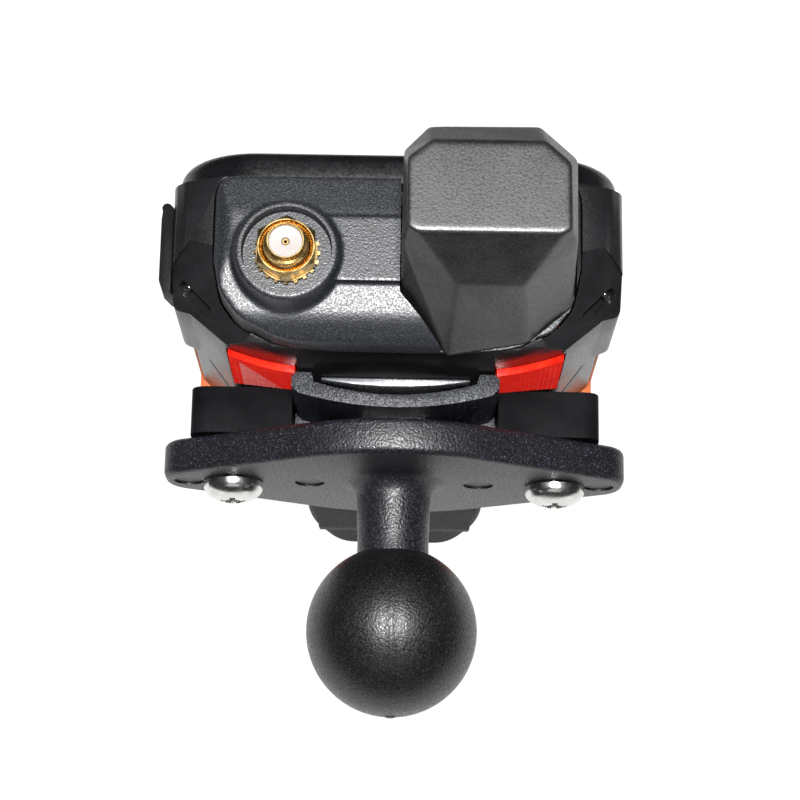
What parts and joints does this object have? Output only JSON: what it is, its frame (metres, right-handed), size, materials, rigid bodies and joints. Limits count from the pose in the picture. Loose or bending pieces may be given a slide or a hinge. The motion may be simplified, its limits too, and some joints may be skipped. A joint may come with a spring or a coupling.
{
  "type": "emergency position beacon",
  "caption": "Handheld satellite distress beacon with screen, keys, antenna block and coaxial jack, seated in a form-fit latch cradle on a diamond base with a rubber-covered mounting ball.",
  "frame": {"origin": "centre of the mounting ball", "axes": "+Z towards the beacon's top end with the antenna and jack; -Y is the screen side; +Y runs from the cradle out through the ball; +X is the side with the charging socket"},
  "size_m": [0.0694, 0.0802, 0.1506],
  "materials": {
    "ball_rubber": "satin, fine speckle",
    "powder_coat": "textured powder coat",
    "steel": "polished",
    "cradle_plastic": "smooth matte",
    "latch_plastic": "fine spark-eroded texture",
    "black_plastic": "fine spark-eroded texture",
    "satin_plastic": "satin",
    "orange_plastic": "satin",
    "red_lens": "ribbed, translucent",
    "grey_plastic": "gloss",
    "window_glass": "clear",
    "display": "satin",
    "key_rubber": "matte",
    "seal_rubber": "matte",
    "gold_plate": "gold plated",
    "insulator": "smooth",
    "board": "solder mask",
    "ceramic": "fired",
    "cell_wrap": "shrink film"
  },
  "bodies": {
    "mount": {"ball_cover": "ball_rubber", "ball_base": "powder_coat", "plate_screw_left": "steel", "plate_screw_right": "steel", "plate_nut_left": "steel", "plate_nut_right": "steel", "cradle": "cradle_plastic", "latch_pin": "steel", "latch_spring": "steel"},
    "latch": {"release_latch": "latch_plastic"},
    "beacon": {"top_cap": "black_plastic", "upper_housing": "satin_plastic", "rear_cover": "orange_plastic", "front_cover": "satin_plastic", "antenna_housing": "satin_plastic", "satellite_antenna": "ceramic", "gps_antenna": "ceramic", "coax_jack": "gold_plate", "coax_nut": "gold_plate", "coax_washer": "gold_plate", "coax_dielectric": "insulator", "coax_contact": "gold_plate", "coax_seal": "seal_rubber", "marker_lens_left": "red_lens", "marker_lens_right": "red_lens", "marker_led_left": "insulator", "marker_led_right": "insulator", "lanyard_pin_left": "steel", "lanyard_pin_right": "steel", "clip_ledge": "grey_plastic", "screen_window": "window_glass", "display_module": "display", "keypad_mat": "seal_rubber", "status_light": "insulator", "main_board": "board", "satellite_modem": "steel", "battery": "cell_wrap", "buzzer": "ceramic", "usb_socket": "steel", "housing_seal": "seal_rubber", "housing_screw_1": "steel", "housing_screw_2": "steel", "housing_screw_3": "steel", "housing_screw_4": "steel"},
    "port_flap": {"port_cover": "seal_rubber"},
    "distress_guard": {"sos_guard": "orange_plastic"},
    "distress_button": {"sos_button": "orange_plastic"},
    "power_button": {"power_key": "key_rubber"},
    "confirm_button": {"confirm_key": "key_rubber"},
    "navigation_button": {"nav_pad": "key_rubber"}
  },
  "joints": [
    {"name": "beacon_lift", "type": "slide", "parent": "mount", "child": "beacon", "axis": [0, 0, 1], "range_m": [0, 0.12]},
    {"name": "latch_tilt", "type": "hinge", "parent": "mount", "child": "latch", "pos_m": [0, -0.0326, -0.004], "axis": [-1, 0, 0], "range_deg": [0, 4.5], "stiffness_Nm_per_rad": 0.4},
    {"name": "port_cover_hinge", "type": "hinge", "parent": "beacon", "child": "port_flap", "pos_m": [0.03325, -0.0562, 0.0173], "axis": [0, 0, -1], "range_deg": [0, 110]},
    {"name": "guard_hinge", "type": "hinge", "parent": "beacon", "child": "distress_guard", "pos_m": [0.017, -0.0657, -0.0682], "axis": [-1, 0, 0], "range_deg": [0, 120]},
    {"name": "distress_press", "type": "slide", "parent": "beacon", "child": "distress_button", "axis": [0, 1, 0], "range_m": [0, 0.0006], "stiffness_N_per_m": 1500},
    {"name": "power_press", "type": "slide", "parent": "beacon", "child": "power_button", "axis": [0, 1, 0], "range_m": [0, 0.0006], "stiffness_N_per_m": 1500},
    {"name": "confirm_press", "type": "slide", "parent": "beacon", "child": "confirm_button", "axis": [0, 1, 0], "range_m": [0, 0.0006], "stiffness_N_per_m": 1500},
    {"name": "navigation_press", "type": "slide", "parent": "beacon", "child": "navigation_button", "axis": [0, 1, 0], "range_m": [0, 0.0006], "stiffness_N_per_m": 1500}
  ]
}
